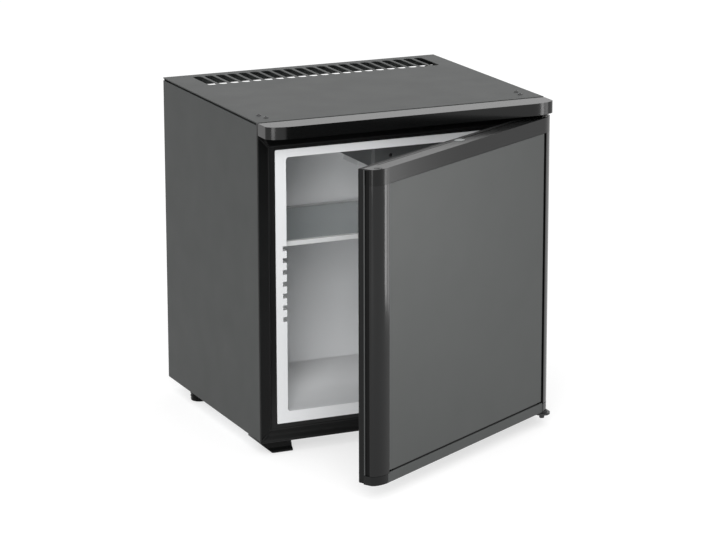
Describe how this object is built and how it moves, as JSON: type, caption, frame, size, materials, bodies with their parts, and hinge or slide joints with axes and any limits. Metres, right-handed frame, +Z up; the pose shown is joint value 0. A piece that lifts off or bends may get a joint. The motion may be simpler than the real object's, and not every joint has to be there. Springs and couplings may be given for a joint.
{
  "type": "minibar fridge",
  "caption": "Small hotel room fridge: dark cabinet with a vented lid, a hinged door with a flat panel and round edges, a white lined box with a shelf, and a cooling unit at its open back.",
  "frame": {"origin": "on the floor, at the middle of the space that the fridge takes up with its door open as stored; the cabinet's front plane is 58.5 mm in front of it and its back is 312.5 mm behind it", "axes": "+X to the right when facing the door, +Y from the door towards the back, +Z up"},
  "size_m": [0.45, 0.625, 0.4892],
  "materials": {
    "cabinet_paint": "satin",
    "door_paint": "satin",
    "galvanised_sheet": "satin",
    "fascia_plastic": "gloss",
    "frame_plastic": "satin",
    "liner_plastic": "satin",
    "door_liner_plastic": "satin",
    "foam": "matte",
    "shelf_plastic": "satin",
    "shelf_glass": "gloss",
    "cover_plastic": "satin",
    "fin_aluminium": "satin",
    "lens_plastic": "satin",
    "sensor_plastic": "matte",
    "thermostat_plastic": "satin",
    "knob_plastic": "satin",
    "tray_plastic": "satin",
    "drain_plastic": "satin",
    "unit_steel": "satin",
    "casing_steel": "satin",
    "heater_steel": "satin",
    "bracket_steel": "satin",
    "box_plastic": "satin",
    "screw_steel": "satin",
    "foot_plastic": "satin",
    "hinge_steel": "satin",
    "washer_plastic": "satin",
    "switch_plastic": "satin",
    "profile_plastic": "gloss",
    "trim_plastic": "satin",
    "plug_plastic": "satin",
    "bush_plastic": "satin",
    "gasket_rubber": "matte",
    "magnet": "satin"
  },
  "bodies": {
    "cabinet": {"side_panel_left": "cabinet_paint", "side_panel_right": "cabinet_paint", "top_panel": "cabinet_paint", "lid_screws": "screw_steel", "top_fascia": "fascia_plastic", "front_frame": "frame_plastic", "inner_liner": "liner_plastic", "insulation": "foam", "rear_wall": "galvanised_sheet", "base_panel": "galvanised_sheet", "rear_crossbar": "galvanised_sheet", "shelf_frame": "shelf_plastic", "shelf_glass": "shelf_glass", "evaporator_cover": "cover_plastic", "evaporator": "fin_aluminium", "lamp_lens": "lens_plastic", "temperature_sensor": "sensor_plastic", "thermostat": "thermostat_plastic", "drip_tray": "tray_plastic", "drain_tube": "drain_plastic", "drain_cup": "drain_plastic", "absorber_vessel": "unit_steel", "absorber_coil": "unit_steel", "gas_exchanger": "unit_steel", "boiler_casing": "casing_steel", "boiler_heater": "heater_steel", "liquid_pipe": "unit_steel", "condenser_tube": "unit_steel", "condenser_fins": "unit_steel", "unit_brackets": "bracket_steel", "terminal_box": "box_plastic", "terminal_box_cover": "box_plastic", "terminal_box_screws": "screw_steel", "cable_gland": "box_plastic", "left_front_foot": "foot_plastic", "right_front_foot": "foot_plastic", "rear_feet": "foot_plastic", "lower_hinge_bracket": "hinge_steel", "lower_hinge_pin": "hinge_steel", "hinge_washer": "washer_plastic", "stop_screw": "screw_steel", "bracket_screws": "screw_steel", "upper_hinge_plate": "hinge_steel", "upper_hinge_pin": "hinge_steel", "light_switch": "switch_plastic"},
    "door": {"door_panel": "door_paint", "handle_profile": "profile_plastic", "hinge_profile": "profile_plastic", "door_top_trim": "trim_plastic", "foam_plug": "plug_plastic", "bottom_rail": "trim_plastic", "door_end_caps": "trim_plastic", "upper_bush": "bush_plastic", "lower_bush": "bush_plastic", "door_core_sheet": "galvanised_sheet", "door_foam": "foam", "door_liner": "door_liner_plastic", "door_gasket": "gasket_rubber", "switch_magnet": "magnet"},
    "knob": {"thermostat_knob": "knob_plastic"}
  },
  "joints": [
    {"name": "door_hinge", "type": "hinge", "parent": "cabinet", "child": "door", "pos_m": [0.212, -0.09049, 0.24425], "axis": [0, 0, 1], "range_deg": [-30.6, 79.4]},
    {"name": "thermostat_turn", "type": "hinge", "parent": "cabinet", "child": "knob", "pos_m": [0.138, 0.06151, 0.406], "axis": [0, -1, 0], "range_deg": [0, 270]}
  ]
}
